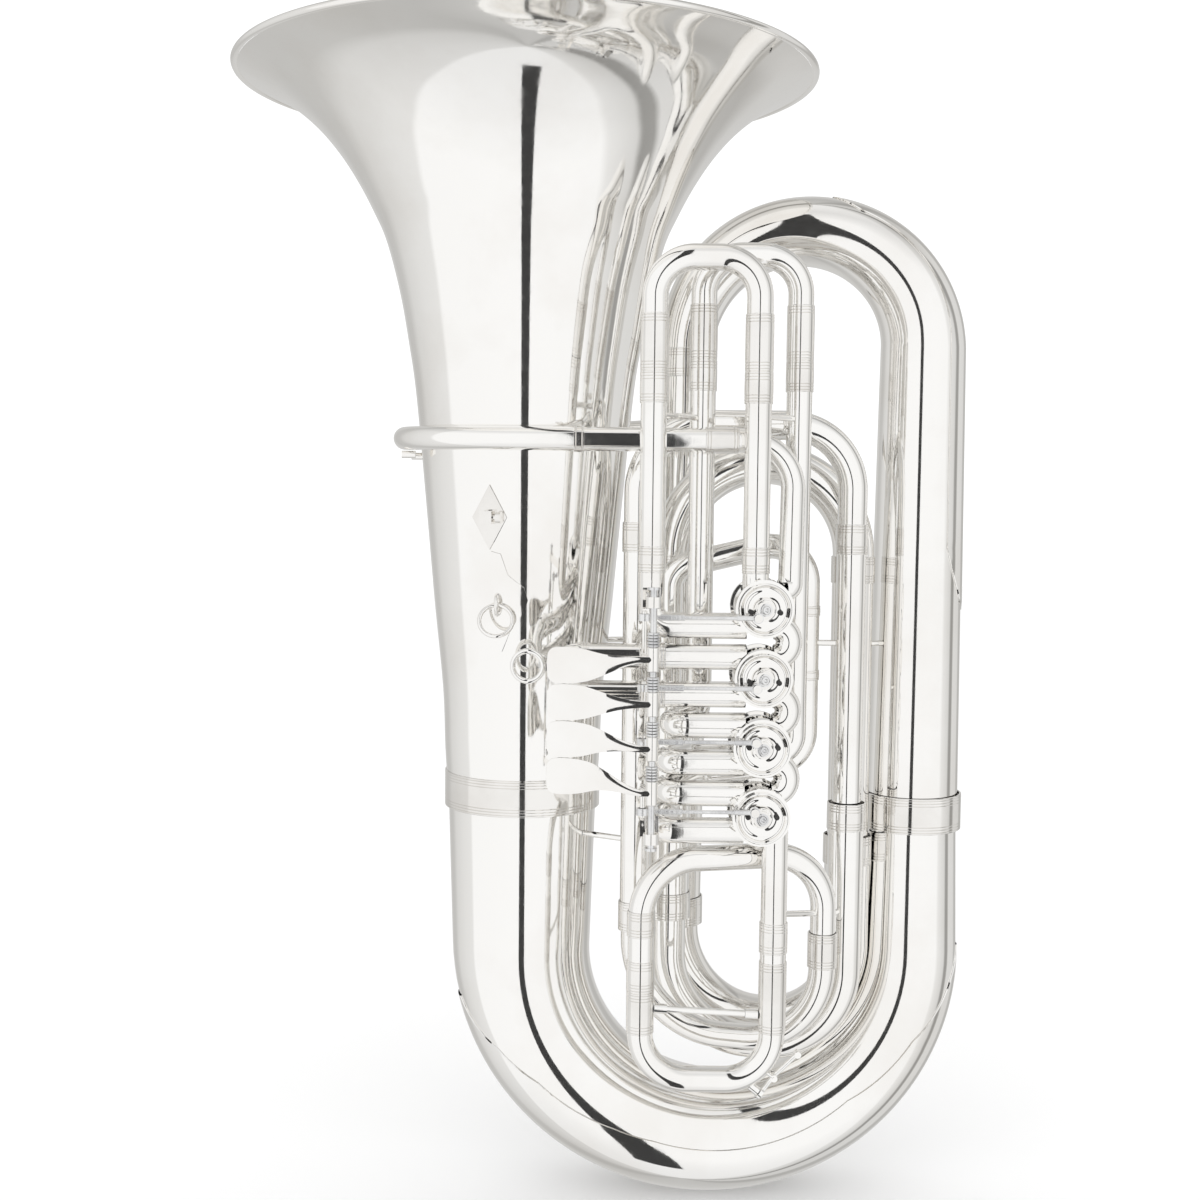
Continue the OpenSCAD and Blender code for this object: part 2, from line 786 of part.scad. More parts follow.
// Long tubing of the fourth valve, behind the valves
module fourth_valve_loop()
{
    high = valve_z(4) + port_offset;
    low = valve_z(4) - port_offset;
    y = fourth_y;
    color(silver)
        cut_casings() {
            pipe([front(valve_x, high), front(bend_x, high), [-20, y, high + 4], [67, y, high + 14],
                [67, y, 562], [-44, y, 535], [-44, y, low], front(bend_x, low), front(valve_x, low)],
                [12, 20, 28, 30, 20, 14, 12], tube_r, bore_r);
        }
    color(nickel)
        for (z = [450, 502])
            ferrule([67, y, z], [0, 0, 1], tube_r + 0.7, 8, tube_r + slack);
}

// Leadpipe from the receiver behind the bell, round its left side to the first valve
leadpipe_z = 637;
wrap_r = 99.5;
receiver_end = [-42, 132, 652];
leadpipe_corner = [bell_x - wrap_r, 103, 641];
receiver_way = unit(receiver_end - leadpipe_corner);
lead_start = [bell_x - wrap_r, -100.5, leadpipe_z];
lead_turn = [49, leadpipe_y, leadpipe_z];
lead_way = unit(lead_turn - lead_start);
function lead_point(x) = lead_start + lead_way * (x - lead_start[0]) / lead_way[0];

module leadpipe()
{
    entry_z = valve_z(1) + port_offset;
    color(silver)
        difference() {
            pipe([receiver_end - receiver_way * 24, leadpipe_corner, lead_start, lead_turn,
                [45.5, front_y + 3, entry_z], [valve_x, front_y, entry_z]],
                [98, 98, 38, 10.5], leadpipe_r, leadpipe_r - tube_t);
            bar([valve_x, -152, valve_z(1)], [valve_x, -96, valve_z(1)], casing_r);
            bar(front(first_right_x, valve_z(1)), front(first_right_x, 560), tube_r + solder_gap);
        }
}

module leadpipe_sleeve()
{
    color(nickel) {
        ferrule(lead_point(-7), lead_way, leadpipe_r + 0.9, 26, leadpipe_r + 0.05);
        ferrule(lead_point(-118), lead_way, leadpipe_r + 0.9, 8, leadpipe_r + 0.05);
    }
}

module mouthpiece_receiver()
{
    back = receiver_end - receiver_way * 52;
    color(silver)
        difference() {
            union() {
                bar(back, receiver_end - receiver_way * 8, 10.4, 11.4);
                bar(receiver_end - receiver_way * 8, receiver_end, 12.6);
            }
            bar(back - receiver_way, receiver_end - receiver_way * 23.9, leadpipe_r + 0.02);
            bar(receiver_end - receiver_way * 24.5, receiver_end + receiver_way, 7);
        }
}

module leadpipe_brace()
{
    color(silver) {
        difference() {
            for (side = [-1, 1])
                bar([bell_x - 87.8, side * 34, leadpipe_z - 12],
                    [bell_x - 99, side * 34, leadpipe_z - 12], 3);
            bell_solid();
            run_wrap();
        }
    }
}

module bell_solid()
{
    translate([bell_x, 0, 0])
        rotate_extrude($fn = 96)
            polygon(concat([[0, bell_low_z]], bell_profile, [[0, bell_top_z]]));
}

module run_wrap()
{
    run([receiver_end, leadpipe_corner, lead_start, [0, leadpipe_y, leadpipe_z]], [98, 98], leadpipe_r);
}

// ---------------------------------------------------------------- fittings

// A thin shell lying on the bell, to be cut into plates
module bell_skin(z1, z2, gap, thick)
{
    translate([bell_x, 0, 0])
        rotate_extrude($fn = 96)
            polygon([[skin_r(z1) + gap, z1], [skin_r(z1) + gap + thick, z1], [skin_r(z2) + gap + thick, z2],
                [skin_r(z2) + gap, z2]]);
}

function skin_r(z) = lookup(z, [for (p = bell_profile) [p[1], p[0]]]);

module plate(x, z, thick, outline)
{
    tall = max([for (p = outline) abs(p[1])]);
    intersection() {
        bell_skin(z - tall - 1, z + tall + 1, 0.35, thick);
        translate([x, 0, z])
            rotate([90, 0, 0])
                linear_extrude(140)
                    polygon(outline);
    }
}

lyre_x = -189;
lyre_z = 575;
strap_x = -183;
strap_z = 505;

module lyre_plate()
{
    color(nickel)
        plate(lyre_x, lyre_z, 0.9, [[0, 26], [-6, 15], [-14, 0], [-6, -15],
            [0, -26], [6, -15], [14, 0], [6, 15]]);
}

module lyre_clamp()
{
    reach = skin_r(lyre_z) + 9.6;
    pin = reach - 4.2;
    lean = -17;
    color(nickel)
        difference() {
            translate([bell_x, 0, lyre_z])
                rotate([0, 0, lean])
                    difference() {
                        translate([-5, -reach, -5])
                            cube([10, 10, 10]);
                        bar([0, -pin, -10], [0, -pin, 10], 2);
                    }
            bell_skin(lyre_z - 12, lyre_z + 12, -20, 21.3);
        }
    color(steel)
        translate([bell_x, 0, lyre_z])
            rotate([0, 0, lean]) {
                bar([5.1, -pin, 0], [8, -pin, 0], 2.2);
                bar([8, -pin, 0], [12, -pin, 0], 4.6);
            }
}

module strap_plate()
{
    color(silver)
        plate(strap_x, strap_z, 0.9, [[-5, 43], [3, 41], [9, 24], [22, 14], [25, 4], [22, -6],
            [12, -18], [4, -38], [-2, -43], [-9, -38], [-14, -20], [-22, -12], [-26, -2],
            [-22, 9], [-12, 18]]);
}

// Fixed eye of the strap ring, standing off the plate
module strap_eye()
{
    base = -(skin_r(strap_z) + 0.6) * cos(14);
    color(silver)
        difference() {
            translate([strap_x, base, strap_z])
                rotate([0, 90, 0])
                    rotate_extrude(angle = 180, start = 180)
                        translate([8, 0])
                            circle(r = 1.8, $fn = 32);
            bell_skin(strap_z - 15, strap_z + 15, -20, 21.3);
        }
}

module strap_ring()
{
    base = -(skin_r(strap_z) + 0.6) * cos(14);
    color(silver)
        translate([strap_x, base - 3.6, strap_z])
            rotate([64, 0, 0])
                translate([0, -13.2, 0])
                    rotate_extrude()
                        translate([13.2, 0])
                            circle(r = 1.7, $fn = 32);
}

module thumb_ring()
{
    x = -157;
    z = 458;
    y = -90;
    color(silver) {
        translate([x, y, z])
            rotate([90, 0, 0])
                rotate_extrude()
                    translate([12, 0])
                        circle(r = 2.2, $fn = 32);
        difference() {
            union() {
                bar([x + 13, y, z], [x + 13, -60, z], 2.6);
                bar([x + 13, -74, z], [x + 13, -66, z], 5.5);
            }
            bell_solid();
        }
    }
}

water_pivot = [38.9, front_y, 141];
water_way = unit([13.7, 0, 17]);
water_out = unit([17, 0, -13.7]);

module water_key()
{
    seat = water_pivot - water_way * 17 - water_out * 1.2;
    tip = water_pivot + water_way * 26 + water_out * 3;
    color(silver)
        difference() {
            union() {
                bar(water_pivot - [0, 3.4, 0], water_pivot + [0, 3.4, 0], 2.6);
                bar(seat + water_out * 2.2, water_pivot, 1.9);
                bar(water_pivot, tip, 1.9);
                bar(tip - [0, 4, 0], tip + [0, 4, 0], 2.6);
                bar(seat, seat + water_out * 3, 4.6);
            }
            bar(water_pivot - [0, 6, 0], water_pivot + [0, 6, 0], 1.25);
        }
}

module water_key_saddle()
{
    seat = water_pivot - water_way * 17 - water_out * 1.6;
    color(silver)
        difference() {
            union() {
                for (side = [-1, 1]) {
                    bar(water_pivot + [0, side * 4.1, 0], water_pivot + [0, side * 5.6, 0], 2.8);
                    bar(water_pivot + [0, side * 4.8, 0],
                        water_pivot + [0, side * 4.8, 0] - water_out * 8, 0.75, 1.6);
                }
                bar(water_pivot - [0, 6.4, 0], water_pivot + [0, 6.4, 0], 1.2);
                bar(seat - water_out * 8, seat, 3.4);
            }
            run([front(tuning_left_x, 220), front(tuning_left_x, 138.4), front(tuning_right_x, 138.4),
                front(tuning_right_x, 240)], [37, 37], tube_r);
            bar(seat - water_out * 10, seat + water_out, 2);
        }
}

// Braces between the tubes: end points and the two bodies they join
brace_list = [
    [[first_left_x, front_y, 655], [third_left_x, third_y, 655]],
    [[first_right_x, front_y, 655], [third_right_x, third_y, 655]],
    [[67, fourth_y, 476], [inner_right_x, inner_right_y, 476]],
    [[inner_right_x, inner_right_y, 434], [e_right_x, e_right_y, 434]],
    [[e_right_x, e_right_y, 472], [branch_x, 0, 472]],
    [[inner_left_x, c_bow_y, 312], [bell_x, 0, 312]],
    [[tuning_right_x, front_y, 270], [loop_right_x, loop_y, 262.6]],
    [[loop_right_x, loop_y, 258], [inner_right_x, inner_right_y, 258]],
    [[inner_left_x, c_bow_y, 450], [e_left_x, e_left_y, 450]],
    [[e_left_x, e_left_y, 400], [second_branch_x, second_branch_y, 400]],
    [[second_branch_x, second_branch_y, 470], [bell_x, 0, 470]],
    [[third_right_x, third_y, 500], [67, fourth_y, 500]]];

module braces()
{
    color(silver)
        difference() {
            for (b = brace_list)
                bar(b[0], b[1], 2.4);
            bell_solid();
            for (x = [first_left_x, first_right_x])
                bar([x, front_y, 640], [x, front_y, 690], tube_r);
            for (x = [third_left_x, third_right_x])
                bar([x, third_y, 430], [x, third_y, 690], tube_r);
            bar([67, fourth_y, 440], [67, fourth_y, 512], tube_r);
            bar([67, fourth_y, 498], [67, fourth_y, 506], tube_r + 1.2);
            bar([inner_right_x, inner_right_y, 350], [inner_right_x, inner_right_y, 520], 11.8);
            bar([inner_right_x, inner_right_y, 240], [inner_right_x, inner_right_y, 285], 14.4);
            bar([e_right_x, e_right_y, 400], [e_right_x, e_right_y, 500], 17);
            bar([e_left_x, e_left_y, 380], [e_left_x, e_left_y, 470], 17);
            bar([inner_left_x, c_bow_y, 300], [inner_left_x, c_bow_y, 470], 11.8);
            bar([branch_x - 1, 0, branch_low_z + 0.2], [branch_x, 0, top_bow_z], branch_low_r, branch_top_r);
            bar([bell_x, 0, bell_low_z], [bell_x, 0, bow_z], bell_throat_r, 58.7);
            bar([tuning_right_x, front_y, 250], [tuning_right_x, front_y, 290], tube_r);
            bar([loop_right_x, loop_y, 250], [loop_right_x, loop_y, 290], tube_r);
            bar(second_branch_path[0], second_branch_path[1], top_bow_end_r, 20.5);
        }
}

bell();
bell_rim_wire();
bell_ferrule();
bottom_bow();
bottom_bow_guard();
right_ferrule();
right_branch();  // first_branch
branch_guard();
top_bow();
top_bow_guard();
second_branch();
second_bottom_bow();
upper_inner_bow();
third_bottom_bow();
front_upper_bow();
tuning_loop();
leadpipe();
leadpipe_sleeve();  // leadpipe_sleeves
mouthpiece_receiver();
leadpipe_brace();  // leadpipe_braces
casing(1);  // valve_casing_1
casing(2);  // valve_casing_2
casing(3);  // valve_casing_3
casing(4);  // valve_casing_4
for (n = [1:4]) stop_plate(n);  // stop_plates
for (n = [1:4]) bumpers(n);
rotor(1);  // rotor_1
rotor(2);  // rotor_2
rotor(3);  // rotor_3
rotor(4);  // rotor_4
link(1);  // link_1
link(2);  // link_2
link(3);  // link_3
link(4);  // link_4
lever(1);  // lever_1
lever(2);  // lever_2
lever(3);  // lever_3
lever(4);  // lever_4
lever_axle();
axle_posts();
springs();
knuckles();
tuning_slide_legs();
main_tuning_slide();
water_key_saddle();
water_key();
first_slide_legs();
first_slide();
second_slide_legs();
second_slide();
third_slide_legs();
third_slide();
fourth_valve_loop();
thumb_ring();
lyre_plate();
lyre_clamp();
strap_plate();
strap_eye();
strap_ring();
braces();
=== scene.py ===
import json
import math

import bpy
from mathutils import Matrix, Vector

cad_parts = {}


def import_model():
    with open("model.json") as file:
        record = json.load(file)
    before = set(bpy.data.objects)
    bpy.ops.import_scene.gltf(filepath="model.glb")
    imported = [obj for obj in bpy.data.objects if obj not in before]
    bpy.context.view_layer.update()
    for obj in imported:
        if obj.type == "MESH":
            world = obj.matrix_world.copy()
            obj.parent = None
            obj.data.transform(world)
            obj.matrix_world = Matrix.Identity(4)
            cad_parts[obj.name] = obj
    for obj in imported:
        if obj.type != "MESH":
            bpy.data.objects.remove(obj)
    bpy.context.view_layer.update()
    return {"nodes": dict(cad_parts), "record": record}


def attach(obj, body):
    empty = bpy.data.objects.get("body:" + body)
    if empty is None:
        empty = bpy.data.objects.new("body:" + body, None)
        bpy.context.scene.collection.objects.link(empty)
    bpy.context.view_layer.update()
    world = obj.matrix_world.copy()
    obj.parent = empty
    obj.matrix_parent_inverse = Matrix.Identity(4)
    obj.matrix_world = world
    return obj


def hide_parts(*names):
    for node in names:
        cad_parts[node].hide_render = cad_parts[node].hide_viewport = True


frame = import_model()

MM = 0.001
# Places of the colour sockets on a Mix node
COLOUR_A, COLOUR_B, COLOUR_OUT = 6, 7, 2

# ------------------------------------------------------------------ sizes in millimetres, as in the part
# Large tubing: places of the legs, radii of the bends and of the sheets
BELL_X = -165.0
BRANCH_X = 167.0
BOW_R = 165.0
BOW_Z = 214.0
BOW_TOP_Z = 335.8
BOW_END_Z = 318
BELL_END_R = 62.3
BOW_LEFT_R = 58.5
BOW_RIGHT_R = 41.5
BRANCH_LOW_R = 39
BRANCH_TOP_R = 34.5
SECOND_TOP_R = 23.2
TOP_R = 98.0
TOP_X = BRANCH_X - TOP_R
TOP_Z = 718.0
SECOND_X = TOP_X - TOP_R
SECOND_Y = 28.0
# Radius and height along the bell
BELL_PROFILE = [(62.5, 336), (65.4, 378), (67.5, 430), (75, 505), (82.5, 589), (90.5, 674), (96.5, 716),
                (104, 758), (115, 800), (126, 825), (140, 851), (157, 876), (178, 899), (204, 919),
                (234.3, 933.93)]
BELL_SHEET = 1.2
RIM_R, RIM_Z, RIM_WIRE_R = 236.65, 935.95, 2.9

# Small tubing: radii, layers from front to back, and the places of the legs
TUBE_R = 10.1
LEG_R = 9.25
LEAD_R = 9.4
TUBE_WALL = 0.8
FRONT_Y = -125.0
LEAD_Y = -102.5
THIRD_Y = -80.0
FOURTH_Y = -58.0
# Legs of the inner bows (x, y), named from the widest to the narrowest
SECOND_END = (SECOND_X - 2, SECOND_Y)
E_LEFT, E_RIGHT = (-40, -18.0), (109, -24.0)
C_LEFT, C_RIGHT = (-70, -56.0), (102, -59.0)
LOOP = (80, -92.0)
TUNING_XS = (-66, 37)
FIRST_XS = (-61, 18.6)
THIRD_XS = (-21, 55)
FOURTH_XS = (-44, 67)
SLIDE_BEND = 30
BEND_X = -56.0

# Valves: places, the ports' distance from the axis, and the round on which tubes end
VALVE_X = 24.0
PORT = 14.5
SEAT_R = 21.2
CASING_BACK_Y = -103.0
PLATE_Y = -147
SCREW_Y = -154.3

# Levers: axle and horn pin (x, y), paddle outline as distance from the tip and half height
AXLE = (-61.0, -182.0)
HORN = (-67.0, -156.7)
REACH = 78
PADDLE = [(0.0, 4.0), (0.5, 8.0), (2.2, 11.2), (5.5, 13.0), (12, 13.5), (20, 13.1), (28, 11.9), (34, 10.2),
          (40, 8.3), (46, 6.5), (52, 4.9), (58, 3.7), (64, 2.9), (70, 2.4), (REACH, 2.2)]
ARM_HALF = 2.2

UP = (0, 0, 1)
EAST = (1, 0, 0)
BACK = Vector((0, 1, 0))


def valve_z(n):
    """Height of a valve's axis; the fourth valve is the lowest."""
    return 350 + (4 - n) * 53.0


# ------------------------------------------------------------------ materials
def node(tree, kind, **values):
    """A shader node with the given sockets and settings."""
    made = tree.nodes.new(kind)
    for key, value in values.items():
        if key in made.inputs:
            made.inputs[key].default_value = value
        else:
            setattr(made, key, value)
    return made


def ramp(tree, low, high, places):
    """A colour ramp between two colours at two places."""
    made = tree.nodes.new("ShaderNodeValToRGB")
    for stop, colour, place in zip(made.color_ramp.elements, (low, high), places):
        stop.color = colour
        stop.position = place
    return made


def grey(v):
    return (v, v, v, 1)


def metal(name, clean, dull, rough, bump, scale=9.0, metallic=1.0):
    """Polished metal: cloudy colour, roughness that varies with wiping marks, fine bump."""
    mat = bpy.data.materials.new(name)
    mat.use_nodes = True
    tree = mat.node_tree
    shader = tree.nodes["Principled BSDF"]
    shader.inputs["Metallic"].default_value = metallic
    place = tree.nodes.new("ShaderNodeTexCoord")
    cloud = node(tree, "ShaderNodeTexNoise", Scale=scale, Detail=5.0, Roughness=0.55)
    tree.links.new(place.outputs["Object"], cloud.inputs["Vector"])
    tint = ramp(tree, dull, clean, (0.32, 0.55))
    tree.links.new(cloud.outputs["Fac"], tint.inputs["Fac"])
    tree.links.new(tint.outputs["Color"], shader.inputs["Base Color"])
    fine = node(tree, "ShaderNodeTexNoise", Scale=scale * 14, Detail=6.0, Roughness=0.6)
    tree.links.new(place.outputs["Object"], fine.inputs["Vector"])
    polish = ramp(tree, grey(rough[1]), grey(rough[0]), (0.35, 0.62))
    tree.links.new(fine.outputs["Fac"], polish.inputs["Fac"])
    tree.links.new(polish.outputs["Color"], shader.inputs["Roughness"])
    stretch = node(tree, "ShaderNodeMapping", Scale=(520, 520, 26))
    tree.links.new(place.outputs["Object"], stretch.inputs["Vector"])
    lines = node(tree, "ShaderNodeTexNoise", Scale=1.0, Detail=2.0)
    tree.links.new(stretch.outputs["Vector"], lines.inputs["Vector"])
    relief = node(tree, "ShaderNodeBump", Strength=bump, Distance=0.0002)
    tree.links.new(lines.outputs["Fac"], relief.inputs["Height"])
    tree.links.new(relief.outputs["Normal"], shader.inputs["Normal"])
    return mat


SILVER = metal("silver_plate", (0.955, 0.945, 0.925, 1), (0.90, 0.88, 0.85, 1), (0.035, 0.075), 0.02)
SATIN = metal("satin_silver", (0.93, 0.92, 0.90, 1), (0.86, 0.84, 0.81, 1), (0.20, 0.32), 0.02,
              metallic=0.6)
NICKEL = metal("nickel_silver", (0.90, 0.885, 0.86, 1), (0.82, 0.80, 0.77, 1), (0.06, 0.10), 0.05, 16)
STEEL = metal("turned_steel", (0.83, 0.83, 0.83, 1), (0.66, 0.66, 0.67, 1), (0.12, 0.22), 0.15, 40)


def cork_material():
    """Dark cork: fine grain in colour and relief."""
    mat = bpy.data.materials.new("cork")
    mat.use_nodes = True
    tree = mat.node_tree
    shader = tree.nodes["Principled BSDF"]
    place = tree.nodes.new("ShaderNodeTexCoord")
    grain = node(tree, "ShaderNodeTexNoise", Scale=900.0, Detail=4.0)
    tree.links.new(place.outputs["Object"], grain.inputs["Vector"])
    tint = ramp(tree, (0.012, 0.012, 0.013, 1), (0.05, 0.048, 0.045, 1), (0.3, 0.7))
    tree.links.new(grain.outputs["Fac"], tint.inputs["Fac"])
    tree.links.new(tint.outputs["Color"], shader.inputs["Base Color"])
    shader.inputs["Roughness"].default_value = 0.75
    relief = node(tree, "ShaderNodeBump", Strength=0.5, Distance=0.0003)
    tree.links.new(grain.outputs["Fac"], relief.inputs["Height"])
    tree.links.new(relief.outputs["Normal"], shader.inputs["Normal"])
    return mat


CORK = cork_material()
SLOT_MATERIAL = {"silver_plate": SILVER, "nickel_silver": NICKEL, "steel": STEEL, "cork": CORK}
MATERIAL_SLOT = {m: s for s, m in SLOT_MATERIAL.items()}
MATERIAL_SLOT[SATIN] = "silver_plate"


# ------------------------------------------------------------------ mesh building
class Mesh:
    """Vertices in millimetres and faces, gathered from several shapes."""

    def __init__(self):
        self.verts = []
        self.faces = []

    def grid(self, rows):
        """Rings of points joined into a skin."""
        base = len(self.verts)
        count = len(rows[0])
        for row in rows:
            self.verts += [tuple(p) for p in row]
        for i in range(len(rows) - 1):
            low, high = base + i * count, base + (i + 1) * count
            for j in range(count):
                beside = (j + 1) % count
                self.faces.append((low + j, low + beside, high + beside, high + j))

    def build(self, name, body, material, nodes=()):
        """The finished piece: smooth, in metres, riding a body in place of its CAD nodes."""
        data = bpy.data.meshes.new(name)
        data.from_pydata([Vector(v) * MM for v in self.verts], [], self.faces)
        data.validate()
        data.update()
        obj = bpy.data.objects.new(name, data)
        bpy.context.scene.collection.objects.link(obj)
        for polygon in data.polygons:
            polygon.use_smooth = True
        data.set_sharp_from_angle(angle=math.radians(34))
        data.materials.append(material)
        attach(obj, body)
        if nodes:
            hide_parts(*nodes)


def across(direction):
    """Two unit vectors square to a direction."""
    d = Vector(direction).normalized()
    aside = Vector((0, 0, 1)) if abs(d.z) < 0.9 else Vector((0, 1, 0))
    x = aside.cross(d).normalized()
    return x, d.cross(x)


def ring(centre, x, y, radius, sides):
    """Points on a circle."""
    return [centre + (x * math.cos(a) + y * math.sin(a)) * radius
            for a in (2 * math.pi * j / sides for j in range(sides))]


def centreline(corners, bends, step=4.0):
    """Points and directions along straight runs joined by round bends."""
    pts = [Vector(p) for p in corners]
    out = [(pts[0], (pts[1] - pts[0]).normalized())]
    for i in range(1, len(pts) - 1):
        d1 = (pts[i] - pts[i - 1]).normalized()
        d2 = (pts[i + 1] - pts[i]).normalized()
        turn = d1.angle(d2)
        back = bends[i - 1] * math.tan(turn / 2)
        side = (d2 - d1 * math.cos(turn)).normalized()
        centre = pts[i] - d1 * back + side * bends[i - 1]
        steps = max(2, int(math.degrees(turn) / step))
        for k in range(steps + 1):
            a = turn * k / steps
            out.append((centre + (-side * math.cos(a) + d1 * math.sin(a)) * bends[i - 1],
                        (d1 * math.cos(a) + side * math.sin(a)).normalized()))
    out.append((pts[-1], (pts[-1] - pts[-2]).normalized()))
    return out


def pipe(mesh, corners, bends, radius, end_radius=None, sides=40, wall=TUBE_WALL, lip=8.0):
    """An open tube along a bent path; the ends show a wall and a dark bore."""
    line = centreline(corners, bends)
    length = [0.0]
    for (p, _), (q, _) in zip(line, line[1:]):
        length.append(length[-1] + (q - p).length)
    x, y = across(line[0][1])
    rows = []
    previous = line[0][1]
    frames = []
    for (point, way), along in zip(line, length):
        turn = previous.rotation_difference(way)
        x.rotate(turn)
        y.rotate(turn)
        previous = way
        share = along / length[-1]
        r = radius if end_radius is None else radius + (end_radius - radius) * share
        frames.append((point, way.copy(), x.copy(), y.copy(), r))
        rows.append(ring(point, x, y, r, sides))
    first, last = frames[0], frames[-1]
    head = [ring(first[0] + first[1] * lip, first[2], first[3], first[4] - wall, sides),
            ring(first[0], first[2], first[3], first[4] - wall, sides)]
    tail = [ring(last[0], last[2], last[3], last[4] - wall, sides),
            ring(last[0] - last[1] * lip, last[2], last[3], last[4] - wall, sides)]
    mesh.grid(head + rows + tail)


def lathe(mesh, origin, direction, profile, sides=64):
    """A turned shape: profile of (distance along, radius)."""
    d = Vector(direction).normalized()
    x, y = across(d)
    mesh.grid([ring(Vector(origin) + d * h, x, y, max(r, 0.001), sides) for h, r in profile])


def ferrule(mesh, centre, direction, radius, length, lines=3, bore=None):
    """A sleeve over a joint, with fine turned lines near both ends and rounded edges."""
    half = length / 2
    groove, flank, pitch, inset, edge = 0.4, 0.45, 2.3, 1.6, 0.35
    bore = radius - 0.9 if bore is None else bore
    profile = [(-half, bore), (-half, radius - edge), (-half + edge, radius)]
    marks = [-half + inset + k * pitch for k in range(lines)]
    marks += [half - inset - k * pitch for k in range(lines)][::-1]
    for m in marks:
        profile += [(m - flank, radius), (m, radius - groove), (m + flank, radius)]
    profile += [(half - edge, radius), (half, radius - edge), (half, bore)]
    lathe(mesh, centre, direction, profile)


def bar(mesh, a, b, radius):
    """A round bar with softened ends."""
    a, b = Vector(a), Vector(b)
    length = (b - a).length
    soft = min(0.5, radius * 0.3)
    lathe(mesh, a, b - a, [(0, 0), (0, radius - soft), (soft, radius), (length - soft, radius),
                           (length, radius - soft), (length, 0)], 24)


def spline(points, per):
    """Catmull-Rom curve through points of any dimension."""
    out = []
    for i in range(len(points) - 1):
        p0 = points[max(i - 1, 0)]
        p1, p2 = points[i], points[i + 1]
        p3 = points[min(i + 2, len(points) - 1)]
        for k in range(per):
            t = k / per
            out.append(tuple(0.5 * (2 * b + (c - a) * t + (2 * a - 5 * b + 4 * c - d) * t * t
                                    + (3 * b - a - 3 * c + d) * t ** 3)
                             for a, b, c, d in zip(p0, p1, p2, p3)))
    out.append(tuple(points[-1]))
    return out


# ------------------------------------------------------------------ large tubing
def bell():
    """Bell skin outside and inside, the wired rim, and the band at the bell's lower end."""
    foot = (BELL_X, 0, 0)
    m = Mesh()
    outer = spline(BELL_PROFILE, 7)
    inner = [(r - BELL_SHEET, z + (1.0 if z > 800 else 0.0)) for r, z in outer][::-1]
    lathe(m, foot, UP, [(z, r) for r, z in outer + inner[:1]], 160)
    m.build("bell_flare", "horn", SILVER, ["bell"])
    inside = Mesh()
    lathe(inside, foot, UP, [(z, r) for r, z in inner + outer[:1]], 160)
    inside.build("bell_inside", "horn", SATIN, ["bell"])
    wire = Mesh()
    bead = [(RIM_Z + RIM_WIRE_R * math.sin(a), RIM_R + RIM_WIRE_R * math.cos(a))
            for a in (2 * math.pi * k / 20 for k in range(21))]
    lathe(wire, foot, UP, bead, 160)
    wire.build("bell_rim", "horn", SILVER, ["bell_rim_wire"])
    band = Mesh()
    ferrule(band, (BELL_X, 0, 346), UP, 65.6, 30, bore=64.5)
    band.build("bell_band", "horn", NICKEL, ["bell_ferrule"])


def bottom_station(degrees):
    """Point, outward way and radius on the bottom bow, counted from its left end."""
    turn = math.radians(degrees)
    out = Vector((-math.cos(turn), 0, -math.sin(turn)))
    return Vector((0, 0, BOW_Z)) + out * BOW_R, out, BOW_LEFT_R + (BOW_RIGHT_R - BOW_LEFT_R) * degrees / 180


def top_station(degrees):
    """Point, outward way and radius on the top bow, counted from its right end."""
    turn = math.radians(degrees)
    out = Vector((math.cos(turn), 0, math.sin(turn)))
    point = Vector((TOP_X, SECOND_Y * degrees / 180, TOP_Z)) + out * TOP_R
    return point, out, BRANCH_TOP_R + (SECOND_TOP_R - BRANCH_TOP_R) * degrees / 180


def bottom_rings():
    """Rings down the left leg, round the bow and up the right leg: point, outward way and radius."""
    rows = []
    for z in (BOW_TOP_Z, 300, 255, BOW_Z):
        share = (z - BOW_Z) / (BOW_TOP_Z - BOW_Z)
        radius = BOW_LEFT_R + (BELL_END_R - BOW_LEFT_R) * share
        rows.append((Vector((BELL_X, 0, z)), -Vector(EAST), radius))
    for k in range(1, 60):
        rows.append(bottom_station(180 * k / 60))
    for z in (BOW_Z, 260, 290, BOW_END_Z):
        share = (z - BOW_Z) / (BOW_END_Z - BOW_Z)
        rows.append((Vector((BOW_R, 0, z)), Vector(EAST), BOW_RIGHT_R + (BRANCH_LOW_R - BOW_RIGHT_R) * share))
    return rows


def bottom_bow():
    m = Mesh()
    m.grid([ring(p, out, BACK, r, 96) for p, out, r in bottom_rings()])
    m.build("bottom_bow_tube", "horn", SILVER, ["bottom_bow"])


def guard(name, stations, nodes, cols=24):
    """A shield on a tube's outer side: stations of point, outward way, radius and half width in degrees."""
    top, under, bevel = 1.15, 0.1, 0.5
    m = Mesh()
    rows = []
    for point, out, r, half in stations:
        row = []
        for j in range(cols + 1):
            a = math.radians(half) * (2 * j / cols - 1)
            row.append(point + (out * math.cos(a) + BACK * math.sin(a)) * (r + top))
        for j in range(cols, -1, -1):
            a = math.radians(half + bevel) * (2 * j / cols - 1)
            row.append(point + (out * math.cos(a) + BACK * math.sin(a)) * (r + under))
        rows.append(row)
    m.grid(rows)
    m.build(name, "horn", SILVER, nodes)


def bottom_guard():
    """The shield under the bottom bow; its half width goes by the turn in degrees."""
    widths = [(12, 18), (24, 52), (36, 71), (60, 86), (72, 90), (132, 90), (156, 70), (172, 36), (180, 10)]
    stations = []
    for degrees in range(12, 181, 2):
        (d1, w1), (d2, w2) = next(p for p in zip(widths, widths[1:]) if p[0][0] <= degrees <= p[1][0])
        stations.append((*bottom_station(degrees), w1 + (w2 - w1) * (degrees - d1) / (d2 - d1)))
    guard("bottom_guard", stations, ["bottom_bow_guard"], cols=48)


